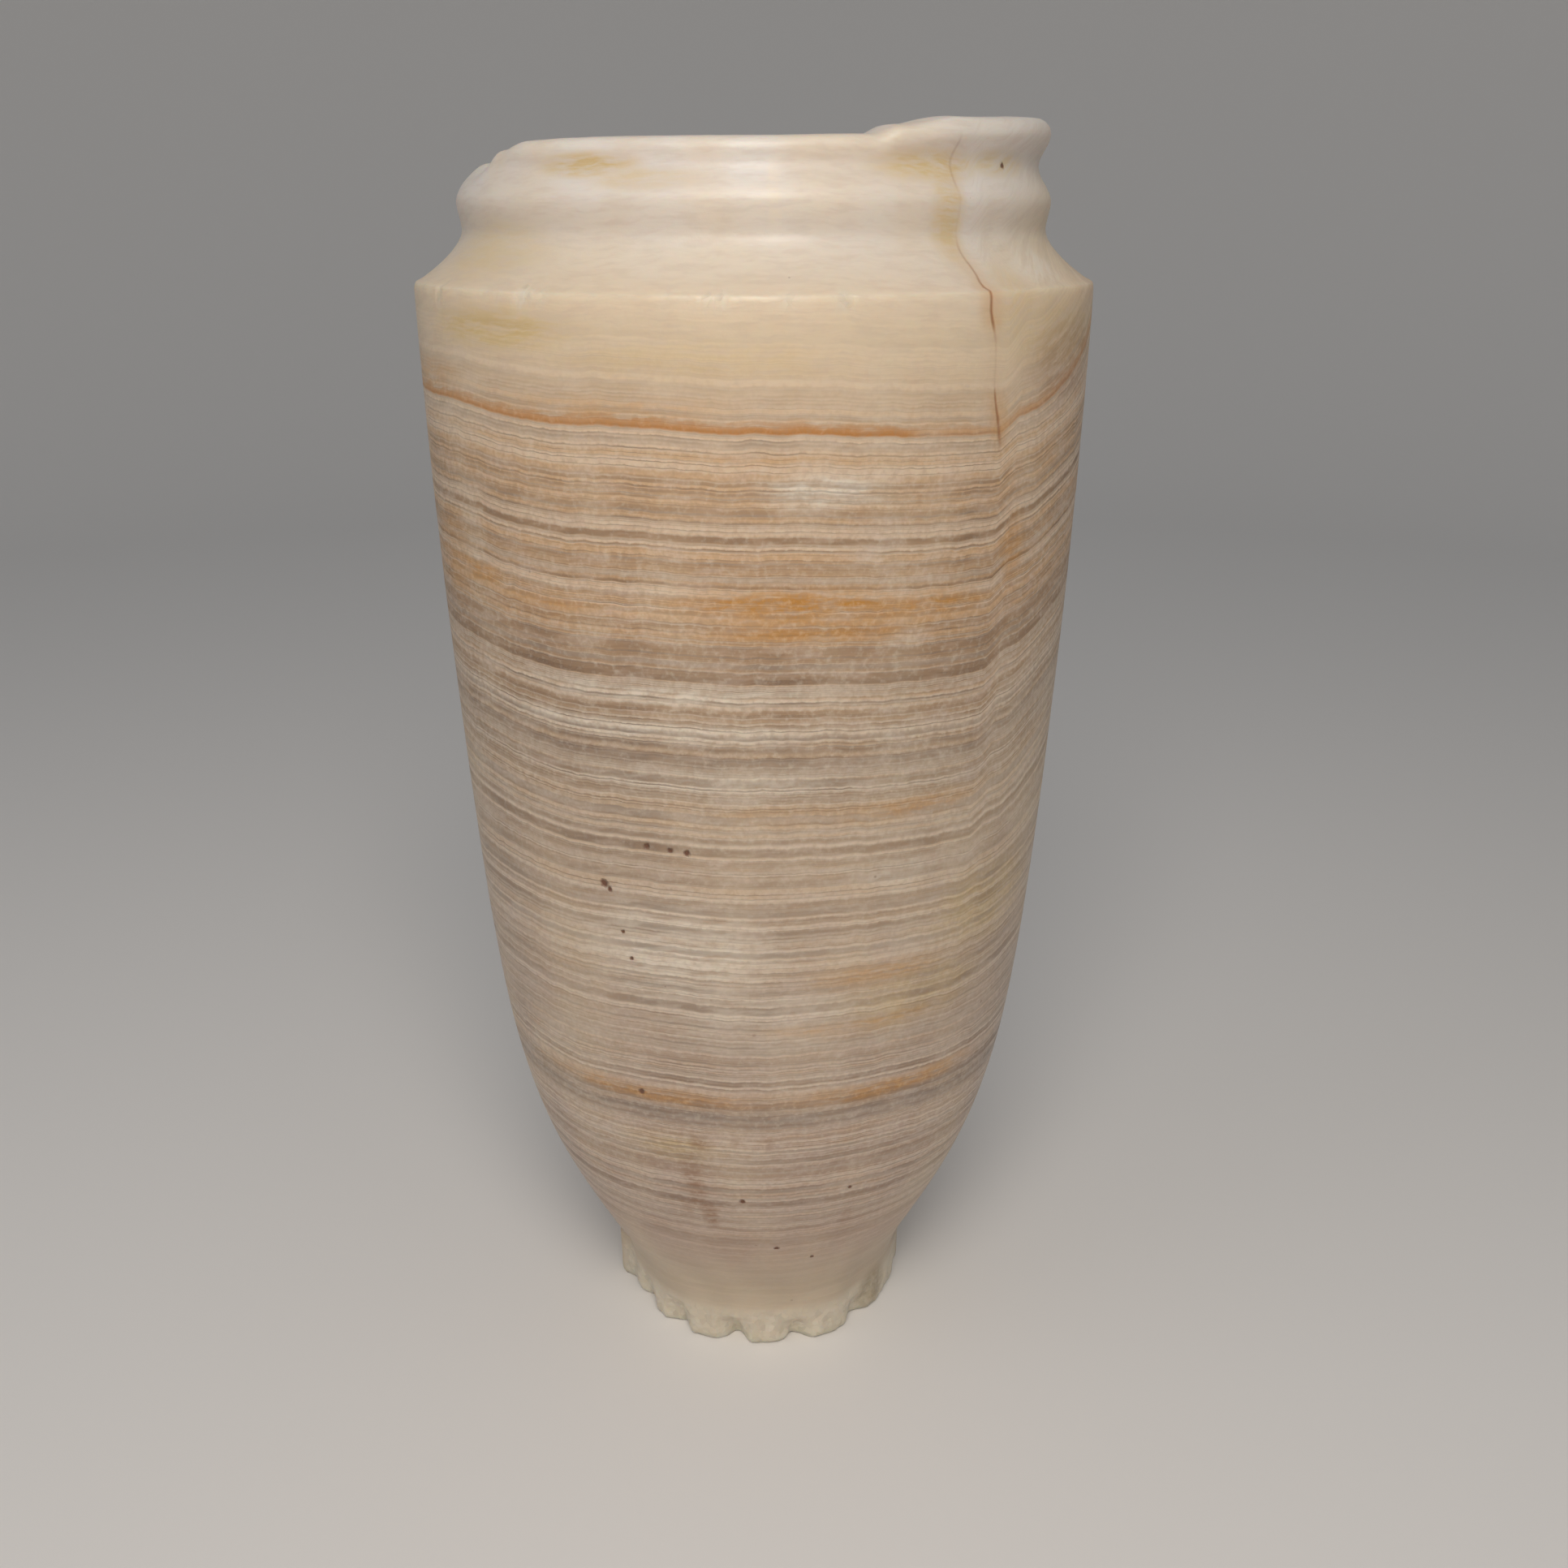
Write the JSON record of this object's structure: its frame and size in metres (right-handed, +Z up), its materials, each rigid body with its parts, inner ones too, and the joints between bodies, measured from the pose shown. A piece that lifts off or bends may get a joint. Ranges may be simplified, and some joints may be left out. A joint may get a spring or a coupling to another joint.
{
  "type": "alabaster jar",
  "caption": "Tall shouldered stone jar, hollow and open, with a wide worn mouth, a ridged neck, a tapering body and a low chipped foot.",
  "frame": {"origin": "centre of the flat underside of the foot", "axes": "+Z up through the middle of the mouth, -Y towards the side that faced the viewer, +X to that viewer's right"},
  "size_m": [0.0764, 0.0764, 0.15],
  "materials": {
    "alabaster": "old polish, softly glossy, with fine bands"
  },
  "bodies": {
    "root": {"jar": "alabaster"}
  },
  "joints": []
}
